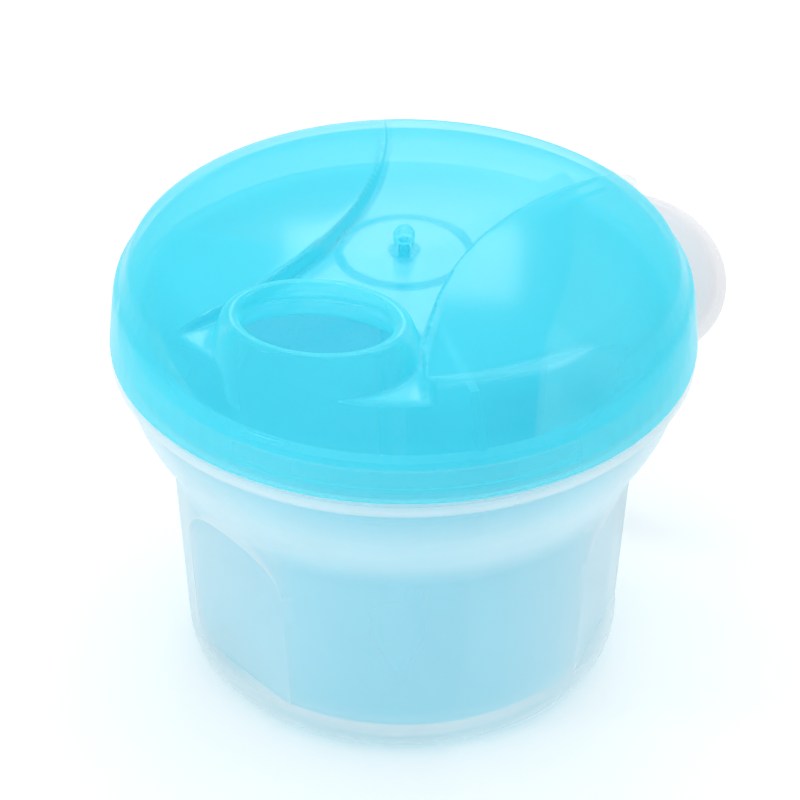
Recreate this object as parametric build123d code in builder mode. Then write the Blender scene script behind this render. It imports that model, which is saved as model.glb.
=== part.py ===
from build123d import *
from math import cos, radians, sin, sqrt
import os

# Formula dispenser: a frosted cup, a three-compartment insert, a turning lid
# with a spout, and a spout cap on a strap that a ring holds to the cup's neck.
# Origin at the centre of the cup's base, +Z up, the front is -Y. Millimetres.
# Azimuths are counted from the front towards +X.

# ---- cup ----
cup_wall = 1.5
cup_floor = 1.8
base_radius = 43.1
base_round = 7.4
waist_radius = 45.8
waist_height = 44.0
neck_radius = 54.6
neck_height = 66.5
cup_height = 77.0
neck_bead_radius = 56.2
neck_bead_height = 68.6
neck_bead_width = 0.9
panel_azimuth = -49.3
panel_half_width = 14.4
panel_distance = 40.4
panel_lean = 4.1
panel_spring_height = 35.0
panel_top_height = 45.5
panel_foot_height = 9.0

# ---- insert ----
insert_wall = 1.5
insert_gap = 0.5
insert_base_height = 5.5
insert_base_round = 3.0
flange_gap = 0.2
flange_thickness = 1.4
flange_radius = 54.2
vane_thickness = 1.8
vane_azimuth = 16.5
vane_height = 88.4
vane_tip_radius = 46.5
hub_radius = 4.3
hub_foot = 0.5
vane_root = 2.0
corner_round = 2.0
floor_round = 1.6

# ---- pivot pin ----
pin_radius = 1.1
pin_running_gap = 0.06
pin_head_radius = 2.1
pin_head_height = 93.5
pin_top_height = 96.4
pin_depth_height = 74.0

# ---- lid ----
lid_wall = 1.6
skirt_radius = 57.5
skirt_bottom = 71.8
skirt_top_radius = 56.7
skirt_top_height = 80.5
ledge_radius = 56.0
ledge_height = 84.4
step_foot_radius = 55.2
step_foot_height = 84.9
crown_edge_radius = 53.4
crown_edge_height = 89.0
crown_bend_radius = 45.0
crown_bend_height = 92.4
crown_height = 94.8
skirt_bead_radius = 55.1
skirt_bead_top = 73.6
channel_azimuth = -25.3
channel_floor = 90.5
channel_half_waist = 13.0
channel_side_radius = 84.0
dish_radius = 13.0
dish_rise = 0.5
boss_radius = 1.9
boss_top = 93.3

# ---- spout ----
spout_distance = 37.6
spout_tilt = 11.0
lip_half_length = 17.8
lip_half_width = 13.5
lip_round = 1.5
spout_top = 97.6
shoulder_half_length = 19.8
shoulder_half_width = 16.6
shoulder_height = 91.0
foot_half_length = 20.2
foot_half_width = 19.5
foot_height = 82.5
bore_half_length = 14.4
bore_half_width = 10.6
throat_half_length = 17.9
throat_half_width = 13.7
throat_height = 89.0
bore_start_height = 94.2

# ---- cap, strap and ring ----
cap_azimuth = 148.0
ring_inner_radius = 54.9
ring_outer_radius = 57.2
ring_bottom = 69.4
ring_top = 71.3
strap_width = 7.0
strap_thickness = 1.2
knuckle_radius = 0.9
socket_radius = 1.25
root_distance = 59.3
ring_tab = 5.0
root_height = 70.35
tip_distance = 87.1
tip_height = 61.8
strap_sag = 3.0
cap_lean = 33.8
cap_half_length = 21.6
cap_half_width = 17.35
cap_depth = 7.2
cap_wall = 1.3
cap_round = 2.2
plug_half_length = 14.1
plug_half_width = 10.3
plug_depth = 3.0
plug_wall = 1.2
ear_length = 1.2
ear_thickness = 2.0
ear_gap = 0.4
hinge_depth = 2.15


def direction(azimuth):
    """Unit vector of an azimuth in the ground plane."""
    return Vector(sin(radians(azimuth)), -cos(radians(azimuth)), 0)


def cup_profile(inset, base, top, rounding):
    """Half section of the cup's flared shape, moved in by inset."""
    foot = (base_radius - inset + 0.02 * inset, base)
    waist = (waist_radius - inset, waist_height)
    neck = (neck_radius - inset, neck_height + 0.3 * inset)
    with BuildSketch(Plane.XZ) as sketch:
        with BuildLine():
            Line((0, base), foot)
            Line(foot, waist)
            Spline(waist, neck, tangents=((0.04, 1), (0.06, 1)), tangent_scalars=(0.9, 1.3))
            Line(neck, (neck_radius - inset, top))
            Line((neck_radius - inset, top), (0, top))
            Line((0, top), (0, base))
        make_face()
        fillet(sketch.vertices().sort_by(Axis.Y)[:2].sort_by(Axis.X)[-1], rounding)
    return sketch.sketch


def arch_block(distance, grow, foot, depth=12.0):
    """Arch-topped blocks on the three grip panels, outside a given distance."""
    with BuildPart() as blocks:
        for turn in range(3):
            out = direction(panel_azimuth + 120 * turn)
            facing = out * cos(radians(panel_lean)) - Vector(0, 0, sin(radians(panel_lean)))
            plane = Plane(origin=out * distance, x_dir=Vector(0, 0, 1).cross(out), z_dir=facing)
            with BuildSketch(plane):
                with BuildLine():
                    side = panel_half_width + grow
                    spring = panel_spring_height
                    crest = panel_top_height + grow
                    Polyline((-side, spring), (-side, foot), (side, foot), (side, spring))
                    EllipticalCenterArc((0, spring), side, crest - spring, start_angle=0, arc_size=180)
                make_face()
            extrude(amount=depth)
    return blocks.part


def channel_block(grow, floor, top):
    """Hourglass slab between the lid's two raised wings."""
    with BuildPart() as slab:
        with BuildSketch(Plane.XY.offset(floor)):
            with Locations(Rot(0, 0, channel_azimuth)):
                Rectangle(2 * (channel_half_waist + 20), 140)
                for side in (-1, 1):
                    with Locations((side * (channel_half_waist + channel_side_radius), 0)):
                        Circle(channel_side_radius - grow, mode=Mode.SUBTRACT)
        extrude(amount=top - floor)
    return slab.part


def oval(height, half_length, half_width):
    """Oval of the spout at a height, as a face."""
    with BuildSketch(Plane.XY.offset(height)) as face:
        centre = direction(channel_azimuth) * spout_distance
        with Locations((centre.X, centre.Y)):
            Ellipse(half_length, half_width, rotation=channel_azimuth + spout_tilt)
    return face.sketch


# ---- cup ----
grip_cuts = arch_block(panel_distance, 0, panel_foot_height)
grip_backs = arch_block(panel_distance - cup_wall, cup_wall, panel_foot_height - cup_wall)
with BuildPart() as cup_hollow:
    revolve(cup_profile(cup_wall, cup_floor, cup_height, base_round - cup_wall), Axis.Z, 360)
    add(grip_backs, mode=Mode.SUBTRACT)
with BuildPart() as cup:
    revolve(cup_profile(0, 0, cup_height, base_round), Axis.Z, 360)
    add(grip_cuts, mode=Mode.SUBTRACT)
    add(cup_hollow.part, mode=Mode.SUBTRACT)
    # bead that the cap's ring sits on
    with BuildSketch(Plane.XZ):
        with Locations((neck_radius + 0.5, neck_bead_height)):
            Rectangle(2 * (neck_bead_radius - neck_radius - 0.5), neck_bead_width)
    revolve(axis=Axis.Z, revolution_arc=360)
cup.part.label = "cup"

# ---- insert with three compartments ----
insert_inset = cup_wall + insert_gap
flange_bottom = cup_height + flange_gap
insert_top = flange_bottom + flange_thickness
inner_inset = insert_inset + insert_wall
insert_floor = insert_base_height + insert_wall
vane_foot_radius = neck_radius - inner_inset + 0.5
insert_grips = arch_block(panel_distance - insert_inset, insert_inset, 0)
cavity_grips = arch_block(panel_distance - inner_inset, inner_inset, 0)
with BuildPart() as cavities:
    revolve(cup_profile(inner_inset, insert_floor, insert_top, floor_round), Axis.Z, 360)
    add(cavity_grips, mode=Mode.SUBTRACT)
    Cylinder(hub_radius, 200, mode=Mode.SUBTRACT)
    for turn in range(3):
        out = direction(vane_azimuth + 120 * turn)
        with Locations(Plane(origin=(0, 0, 0), x_dir=out, z_dir=(0, 0, 1))):
            Box(70, vane_thickness, 200, align=(Align.MIN, Align.CENTER, Align.CENTER), mode=Mode.SUBTRACT)
    uprights = cavities.edges().filter_by(Axis.Z)
    fillet(uprights.filter_by(lambda e: Vector(e.center().X, e.center().Y, 0).length < 7.7), corner_round)
with BuildPart() as compartment_insert:
    revolve(cup_profile(insert_inset, insert_base_height, insert_top, insert_base_round), Axis.Z, 360)
    add(insert_grips, mode=Mode.SUBTRACT)
    with Locations((0, 0, flange_bottom)):
        Cylinder(flange_radius, flange_thickness, align=(Align.CENTER, Align.CENTER, Align.MIN))
    add(cavities.part, mode=Mode.SUBTRACT)
    # vanes and hub standing above the flange
    for turn in range(3):
        out = direction(vane_azimuth + 120 * turn)
        plane = Plane(origin=(0, 0, 0), x_dir=out, z_dir=out.cross(Vector(0, 0, 1)))
        with BuildSketch(plane):
            with BuildLine():
                Polyline((0, insert_top - vane_root), (vane_foot_radius, insert_top - vane_root),
                         (vane_foot_radius, insert_top), (vane_tip_radius + 2.2, vane_height - 3),
                         (vane_tip_radius, vane_height), (0, vane_height), (0, insert_top - vane_root))
            make_face()
        extrude(amount=vane_thickness / 2, both=True)
    with Locations((0, 0, insert_base_height + hub_foot)):
        Cylinder(hub_radius, vane_height - insert_base_height - hub_foot,
                 align=(Align.CENTER, Align.CENTER, Align.MIN))
    with Locations((0, 0, pin_depth_height - 1)):
        Cylinder(pin_radius + pin_running_gap, 40, align=(Align.CENTER, Align.CENTER, Align.MIN),
                 mode=Mode.SUBTRACT)
compartment_insert.part.label = "compartment_insert"

# ---- pivot pin ----
with BuildPart() as pivot_pin:
    with BuildSketch(Plane.XZ):
        with BuildLine():
            Polyline((0, pin_depth_height), (pin_radius, pin_depth_height), (pin_radius, pin_head_height),
                     (pin_head_radius, pin_head_height), (pin_head_radius, pin_head_height + 0.6))
            Spline((pin_head_radius, pin_head_height + 0.6), (0, pin_top_height),
                   tangents=((0, 1), (-1, 0)))
            Line((0, pin_top_height), (0, pin_depth_height))
        make_face()
    revolve(axis=Axis.Z, revolution_arc=360)
pivot_pin.part.label = "pivot_pin"

# ---- lid with its spout ----
channel = channel_block(0, channel_floor, channel_floor + 10)
channel_roof = channel_block(lid_wall, channel_floor - lid_wall, channel_floor + 10)
roof_height = crown_height - lid_wall
rim_foot = skirt_bottom - 1
crown_rise = crown_height - crown_bend_height
bend_slope = 2 * crown_rise / crown_bend_radius
half_bend = crown_bend_radius / 2
with BuildPart() as lid_hollow:
    with BuildSketch(Plane.XZ):
        with BuildLine():
            Polyline((0, rim_foot), (skirt_bead_radius, rim_foot), (skirt_bead_radius, skirt_bead_top),
                     (skirt_radius - lid_wall - 0.1, skirt_bead_top + 0.6),
                     (skirt_top_radius - lid_wall, skirt_top_height),
                     (ledge_radius - lid_wall, ledge_height - 0.6),
                     (crown_edge_radius - lid_wall, crown_edge_height - 0.9))
            Spline((crown_edge_radius - lid_wall, crown_edge_height - 0.9),
                   (crown_bend_radius, crown_bend_height - lid_wall),
                   tangents=((-0.8, 0.6), (-1, bend_slope)))
            ThreePointArc((crown_bend_radius, crown_bend_height - lid_wall),
                          (half_bend, roof_height - crown_rise / 4), (0, roof_height))
            Line((0, roof_height), (0, rim_foot))
        make_face()
    revolve(axis=Axis.Z, revolution_arc=360)
    add(channel_roof, mode=Mode.SUBTRACT)
with BuildPart() as lid:
    with BuildSketch(Plane.XZ):
        with BuildLine():
            Polyline((0, skirt_bottom), (skirt_radius, skirt_bottom), (skirt_top_radius, skirt_top_height))
            Spline((skirt_top_radius, skirt_top_height), (ledge_radius, ledge_height),
                   tangents=((-0.09, 1), (-0.35, 1)))
            Polyline((ledge_radius, ledge_height), (step_foot_radius, step_foot_height),
                     (crown_edge_radius, crown_edge_height))
            Spline((crown_edge_radius, crown_edge_height), (49.6, 91.2),
                   (crown_bend_radius, crown_bend_height),
                   tangents=((-0.7, 0.7), (-1, bend_slope)))
            ThreePointArc((crown_bend_radius, crown_bend_height), (half_bend, crown_height - crown_rise / 4),
                          (0, crown_height))
            Line((0, crown_height), (0, skirt_bottom))
        make_face()
    revolve(axis=Axis.Z, revolution_arc=360)
    add(channel, mode=Mode.SUBTRACT)
    with Locations((0, 0, channel_floor)):
        Cylinder(dish_radius - 0.5, dish_rise, align=(Align.CENTER, Align.CENTER, Align.MIN))
    # spout body
    loft([oval(foot_height, foot_half_length, foot_half_width),
          oval(shoulder_height, shoulder_half_length, shoulder_half_width),
          oval(spout_top, lip_half_length, lip_half_width)])
    add(lid_hollow.part, mode=Mode.SUBTRACT)
    # spout bore, wide at the throat and narrow at the lip
    extrude(oval(foot_height, throat_half_length, throat_half_width), amount=throat_height - foot_height,
            mode=Mode.SUBTRACT)
    loft([oval(throat_height, throat_half_length, throat_half_width),
          oval(bore_start_height, bore_half_length, bore_half_width)], mode=Mode.SUBTRACT)
    extrude(oval(bore_start_height, bore_half_length, bore_half_width), amount=5, mode=Mode.SUBTRACT)
    fillet(lid.edges().filter_by(lambda e: abs(e.center().Z - spout_top) < 0.01), lip_round)
    # boss and hole for the pivot pin
    with Locations((0, 0, channel_floor - 0.2)):
        Cylinder(boss_radius, boss_top - channel_floor + 0.2, align=(Align.CENTER, Align.CENTER, Align.MIN))
    Cylinder(pin_radius + pin_running_gap, 300, mode=Mode.SUBTRACT)
lid.part.label = "lid"

# ---- ring round the neck, built with its strap along +X, then turned ----
to_cap = cap_azimuth - 90
with BuildPart() as ring_x:
    with Locations((0, 0, ring_bottom)):
        Cylinder(ring_outer_radius, ring_top - ring_bottom, align=(Align.CENTER, Align.CENTER, Align.MIN))
    with Locations((root_distance, 0, ring_bottom)):
        Box(ring_tab, strap_width, ring_top - ring_bottom, align=(Align.MAX, Align.CENTER, Align.MIN))
    Cylinder(ring_inner_radius, 300, mode=Mode.SUBTRACT)
    with Locations((root_distance, 0, root_height)):
        Cylinder(socket_radius, 40, rotation=(90, 0, 0), mode=Mode.SUBTRACT)
with BuildPart() as cap_ring:
    add(ring_x.part.rotate(Axis.Z, to_cap))
cap_ring.part.label = "cap_ring"

# ---- strap ----
with BuildPart() as strap_x:
    with BuildSketch(Plane.XZ):
        with BuildLine():
            Spline((root_distance, root_height),
                   ((root_distance + tip_distance) / 2, root_height - strap_sag / 3),
                   (tip_distance - strap_sag / 2, tip_height + strap_sag), (tip_distance, tip_height),
                   tangents=((1, 0.05), (-0.55, -0.83)))
        trace(line_width=strap_thickness)
        with Locations((root_distance, root_height), (tip_distance, tip_height)):
            Circle(knuckle_radius)
    extrude(amount=strap_width / 2, both=True)
with BuildPart() as cap_strap:
    add(strap_x.part.rotate(Axis.Z, to_cap))
cap_strap.part.label = "cap_strap"

# ---- spout cap, drawn closed side down, then hung from the strap ----
# the strap meets the cap off its middle, by what the spout's tilt asks of a closed cap
cap_shift = spout_distance * sin(radians(spout_tilt))
ear_foot = cap_half_width * sqrt(1 - (cap_shift / cap_half_length) ** 2)
ear_hinge = ear_foot + ear_length + ear_gap
with BuildPart() as cap_flat:
    with BuildSketch():
        Ellipse(cap_half_length, cap_half_width)
    extrude(amount=cap_depth)
    fillet(cap_flat.faces().sort_by(Axis.Z)[0].edges(), cap_round)
    with BuildSketch(Plane.XY.offset(cap_wall)):
        Ellipse(cap_half_length - cap_wall, cap_half_width - cap_wall)
    extrude(amount=cap_depth, mode=Mode.SUBTRACT)
    with BuildSketch(Plane.XY.offset(cap_wall - 0.2)):
        Ellipse(plug_half_length, plug_half_width)
        Ellipse(plug_half_length - plug_wall, plug_half_width - plug_wall, mode=Mode.SUBTRACT)
    extrude(amount=plug_depth)
    # ear that reaches the strap
    with Locations((cap_shift, ear_hinge, hinge_depth)):
        Box(strap_width, 5, ear_thickness, align=(Align.CENTER, Align.MAX, Align.CENTER))
    with BuildSketch(Plane.XY.offset(cap_wall)):
        Ellipse(cap_half_length - cap_wall, cap_half_width - cap_wall)
        Ellipse(plug_half_length, plug_half_width, mode=Mode.SUBTRACT)
    extrude(amount=cap_depth, mode=Mode.SUBTRACT)
    with Locations((cap_shift, ear_hinge, hinge_depth)):
        Cylinder(socket_radius, 40, rotation=(0, 90, 0), mode=Mode.SUBTRACT)
lean = radians(cap_lean)
hang = Plane(origin=(tip_distance, 0, tip_height), x_dir=(0, 1, 0),
             z_dir=(cos(lean), 0, -sin(lean)))
cap_hung = (hang * Pos(-cap_shift, -ear_hinge, -hinge_depth) * cap_flat.part).rotate(Axis.Z, to_cap)
with BuildPart() as spout_cap:
    add(cap_hung)
spout_cap.part.label = "spout_cap"

os.makedirs("parts", exist_ok=True)
export_step(cup.part, "parts/cup.step")
export_step(compartment_insert.part, "parts/compartment_insert.step")
export_step(pivot_pin.part, "parts/pivot_pin.step")
export_step(lid.part, "parts/lid.step")
export_step(cap_ring.part, "parts/cap_ring.step")
export_step(cap_strap.part, "parts/cap_strap.step")
export_step(spout_cap.part, "parts/spout_cap.step")
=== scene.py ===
import math

import bpy
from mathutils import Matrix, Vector

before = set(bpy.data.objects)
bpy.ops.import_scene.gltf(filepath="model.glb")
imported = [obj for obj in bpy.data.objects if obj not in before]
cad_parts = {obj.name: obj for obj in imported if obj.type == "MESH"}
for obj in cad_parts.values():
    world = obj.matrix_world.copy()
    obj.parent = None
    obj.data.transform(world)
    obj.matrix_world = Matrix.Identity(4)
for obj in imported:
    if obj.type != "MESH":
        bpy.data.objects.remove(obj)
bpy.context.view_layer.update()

# Sizes in metres, angles in degrees.
LOOK_HEIGHT = 0.050
CAMERA_DISTANCE = 0.750
CAMERA_ELEVATION = 34.65
CAMERA_ROLL = 0.32
CAMERA_LENS = 169.7
CAMERA_SHIFT = (-0.004, 0.0315)
FLOOR_HALF = 3.0
WORLD_STRENGTH = 0.97
LAMP_AIM = Vector((0, 0, 0.09))
TRANSPARENT_BOUNCES = 24

SMOOTH_ANGLE = 32
WELD_DISTANCE = 0.000002
LID_VOXEL = 0.00045
LID_SMOOTHING = 6

# Plastics: how colour, gloss and cover vary over a wall.
PLASTIC_IOR = 1.49
CLOUD_SCALE = 35
CLOUD_SPREAD = 0.04
GLOSS_SPREAD = (0.8, 1.25)
BUMP_STRENGTH = 0.04
BUMP_DISTANCE = 0.0002
SLANT_POWER = 1.7

LID_CYAN = (0.11, 0.84, 0.95)
LID_TINT = (0.90, 0.99, 0.997)
INSERT_BLUE = (0.22, 0.84, 0.94)
INSERT_TINT = (0.86, 0.985, 0.997)
FROSTED = (0.90, 0.91, 0.92)
FROSTED_TINT = (0.985, 0.992, 0.995)
CAP_MILK = (0.84, 0.84, 0.86)
LAMP_TINT = (0.985, 0.995, 0.997)


def plastic(name, colour, tint, face_cover, edge_cover, milk, roughness, grain, lamp_pass):
    """Moulded translucent plastic: clearer face on, denser at a slant, and it lets lamplight through."""
    material = bpy.data.materials.new(name)
    material.use_nodes = True
    tree = material.node_tree
    nodes, links = tree.nodes, tree.links
    nodes.clear()
    out = nodes.new("ShaderNodeOutputMaterial")
    place = nodes.new("ShaderNodeTexCoord")

    def noise(scale, detail):
        texture = nodes.new("ShaderNodeTexNoise")
        texture.inputs["Scale"].default_value = scale
        texture.inputs["Detail"].default_value = detail
        links.new(place.outputs["Object"], texture.inputs["Vector"])
        return texture.outputs["Fac"]

    def spread(source, low, high):
        ramp = nodes.new("ShaderNodeMapRange")
        ramp.inputs["To Min"].default_value = low
        ramp.inputs["To Max"].default_value = high
        links.new(source, ramp.inputs["Value"])
        return ramp.outputs["Result"]

    body = nodes.new("ShaderNodeVectorMath")
    body.operation = "SCALE"
    body.inputs[0].default_value = colour
    links.new(spread(noise(CLOUD_SCALE, 1), 1 - CLOUD_SPREAD, 1 + CLOUD_SPREAD), body.inputs["Scale"])

    skin = noise(grain, 2)
    gloss = spread(skin, roughness * GLOSS_SPREAD[0], roughness * GLOSS_SPREAD[1])
    bump = nodes.new("ShaderNodeBump")
    bump.inputs["Strength"].default_value = BUMP_STRENGTH
    bump.inputs["Distance"].default_value = BUMP_DISTANCE
    links.new(skin, bump.inputs["Height"])

    surface = nodes.new("ShaderNodeBsdfPrincipled")
    surface.inputs["IOR"].default_value = PLASTIC_IOR
    links.new(body.outputs["Vector"], surface.inputs["Base Color"])
    links.new(gloss, surface.inputs["Roughness"])
    links.new(bump.outputs["Normal"], surface.inputs["Normal"])
    glow = nodes.new("ShaderNodeBsdfTranslucent")
    links.new(body.outputs["Vector"], glow.inputs["Color"])
    solid = nodes.new("ShaderNodeMixShader")
    solid.inputs["Fac"].default_value = milk
    links.new(surface.outputs["BSDF"], solid.inputs[1])
    links.new(glow.outputs["BSDF"], solid.inputs[2])

    through = nodes.new("ShaderNodeBsdfTransparent")
    through.inputs["Color"].default_value = (*tint, 1)
    slant = nodes.new("ShaderNodeLayerWeight")
    slant.inputs["Blend"].default_value = 0.5
    steep = nodes.new("ShaderNodeMath")
    steep.operation = "POWER"
    steep.inputs[1].default_value = SLANT_POWER
    links.new(slant.outputs["Facing"], steep.inputs[0])
    cover = spread(steep.outputs["Value"], face_cover, edge_cover)
    seen = nodes.new("ShaderNodeMixShader")
    links.new(cover, seen.inputs["Fac"])
    links.new(through.outputs["BSDF"], seen.inputs[1])
    links.new(solid.outputs["Shader"], seen.inputs[2])

    # a share of the lamplight passes the wall instead of being stopped by it
    path = nodes.new("ShaderNodeLightPath")
    share = nodes.new("ShaderNodeMath")
    share.operation = "MULTIPLY"
    share.inputs[1].default_value = lamp_pass
    links.new(path.outputs["Is Shadow Ray"], share.inputs[0])
    passed = nodes.new("ShaderNodeBsdfTransparent")
    passed.inputs["Color"].default_value = (*LAMP_TINT, 1)
    lit = nodes.new("ShaderNodeMixShader")
    links.new(share.outputs["Value"], lit.inputs["Fac"])
    links.new(seen.outputs["Shader"], lit.inputs[1])
    links.new(passed.outputs["BSDF"], lit.inputs[2])
    links.new(lit.outputs["Shader"], out.inputs["Surface"])
    return material


def smooth_group():
    """Modifier that shades a moulded shape smooth and keeps its true edges crisp."""
    group = bpy.data.node_groups.new("smooth_by_angle", "GeometryNodeTree")
    group.interface.new_socket("Geometry", in_out="INPUT", socket_type="NodeSocketGeometry")
    group.interface.new_socket("Geometry", in_out="OUTPUT", socket_type="NodeSocketGeometry")
    nodes, links = group.nodes, group.links
    start = nodes.new("NodeGroupInput")
    end = nodes.new("NodeGroupOutput")
    weld = nodes.new("GeometryNodeMergeByDistance")
    weld.inputs["Distance"].default_value = WELD_DISTANCE
    soft = nodes.new("GeometryNodeSetShadeSmooth")
    crisp = nodes.new("GeometryNodeSetShadeSmooth")
    crisp.domain = "EDGE"
    crisp.inputs["Shade Smooth"].default_value = False
    angle = nodes.new("GeometryNodeInputMeshEdgeAngle")
    steep = nodes.new("FunctionNodeCompare")
    steep.operation = "GREATER_THAN"
    steep.inputs["B"].default_value = math.radians(SMOOTH_ANGLE)
    links.new(start.outputs[0], weld.inputs["Geometry"])
    links.new(weld.outputs["Geometry"], soft.inputs["Geometry"])
    links.new(soft.outputs["Geometry"], crisp.inputs["Geometry"])
    links.new(angle.outputs["Unsigned Angle"], steep.inputs["A"])
    links.new(steep.outputs["Result"], crisp.inputs["Selection"])
    links.new(crisp.outputs["Geometry"], end.inputs[0])
    return group


def studio():
    """Pale floor, white surroundings and soft boxes."""
    mesh = bpy.data.meshes.new("floor")
    half = FLOOR_HALF
    mesh.from_pydata([(-half, -half, 0), (half, -half, 0), (half, half, 0), (-half, half, 0)],
                     [], [(0, 1, 2, 3)])
    floor = bpy.data.objects.new("floor", mesh)
    bpy.context.scene.collection.objects.link(floor)
    material = bpy.data.materials.new("pale_floor")
    material.use_nodes = True
    base = material.node_tree.nodes["Principled BSDF"]
    base.inputs["Base Color"].default_value = (0.97, 0.97, 0.97, 1)
    base.inputs["Roughness"].default_value = 0.9
    base.inputs["Specular IOR Level"].default_value = 0.1
    mesh.materials.append(material)

    world = bpy.data.worlds.new("studio")
    world.use_nodes = True
    world.node_tree.nodes["Background"].inputs["Color"].default_value = (1, 1, 1, 1)
    world.node_tree.nodes["Background"].inputs["Strength"].default_value = WORLD_STRENGTH
    bpy.context.scene.world = world

    def softbox(name, place, size, power):
        light = bpy.data.lights.new(name, "AREA")
        light.shape = "RECTANGLE"
        light.size, light.size_y = size
        light.energy = power
        lamp = bpy.data.objects.new(name, light)
        lamp.location = place
        lamp.rotation_euler = (LAMP_AIM - Vector(place)).to_track_quat("-Z", "Y").to_euler()
        bpy.context.scene.collection.objects.link(lamp)

    softbox("top_box", place=(0.12, 0.45, 0.85), size=(0.55, 0.16), power=1.5)
    softbox("back_box", place=(0, 0.82, 0.66), size=(0.22, 0.16), power=0.6)
    softbox("left_box", place=(-0.55, -0.25, 0.6), size=(0.06, 0.06), power=0.5)


def camera():
    """Camera at the viewing angle, looking at the middle of the cup's axis."""
    data = bpy.data.cameras.new("camera")
    data.sensor_width = 36
    data.lens = CAMERA_LENS
    data.shift_x, data.shift_y = CAMERA_SHIFT
    data.clip_end = 20
    rise = math.radians(CAMERA_ELEVATION)
    target = Vector((0, 0, LOOK_HEIGHT))
    back = Vector((0, -math.cos(rise), math.sin(rise)))
    eye = bpy.data.objects.new("camera", data)
    eye.location = target + back * CAMERA_DISTANCE
    eye.rotation_euler = (math.radians(90 - CAMERA_ELEVATION), 0, 0)
    eye.rotation_euler.rotate_axis("Z", math.radians(CAMERA_ROLL))
    bpy.context.scene.collection.objects.link(eye)
    bpy.context.scene.camera = eye


lid_plastic = plastic("lid_cyan", LID_CYAN, LID_TINT, face_cover=0.25, edge_cover=1.0,
                      milk=0.40, roughness=0.10, grain=900, lamp_pass=0.88)
insert_plastic = plastic("insert_blue", INSERT_BLUE, INSERT_TINT, face_cover=0.46, edge_cover=1.0,
                         milk=0.45, roughness=0.28, grain=1400, lamp_pass=0.88)
frosted_plastic = plastic("frosted_clear", FROSTED, FROSTED_TINT, face_cover=0.20, edge_cover=0.95,
                          milk=0.4, roughness=0.22, grain=1400, lamp_pass=0.93)
cap_plastic = plastic("frosted_cap", CAP_MILK, FROSTED_TINT, face_cover=0.62, edge_cover=0.95,
                      milk=0.4, roughness=0.25, grain=1400, lamp_pass=0.6)
LOOKS = {
    "lid": lid_plastic, "pivot_pin": lid_plastic, "compartment_insert": insert_plastic,
    "cup": frosted_plastic, "cap_ring": frosted_plastic, "cap_strap": frosted_plastic,
    "spout_cap": cap_plastic,
}
smoothing = smooth_group()
for name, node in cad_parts.items():
    for slot in node.material_slots:
        slot.material = LOOKS[name]
    # the lid gets an even skin with softly moulded edges
    if name == "lid":
        remesh = node.modifiers.new("even_skin", "REMESH")
        remesh.mode = "VOXEL"
        remesh.voxel_size = LID_VOXEL
        remesh.use_smooth_shade = True
        soften = node.modifiers.new("moulded_edges", "SMOOTH")
        soften.factor = 0.5
        soften.iterations = LID_SMOOTHING
    else:
        node.modifiers.new("smooth", "NODES").node_group = smoothing

studio()
camera()
scene = bpy.context.scene
scene.view_settings.view_transform = "Standard"
scene.cycles.use_denoising = True
scene.cycles.transparent_max_bounces = TRANSPARENT_BOUNCES
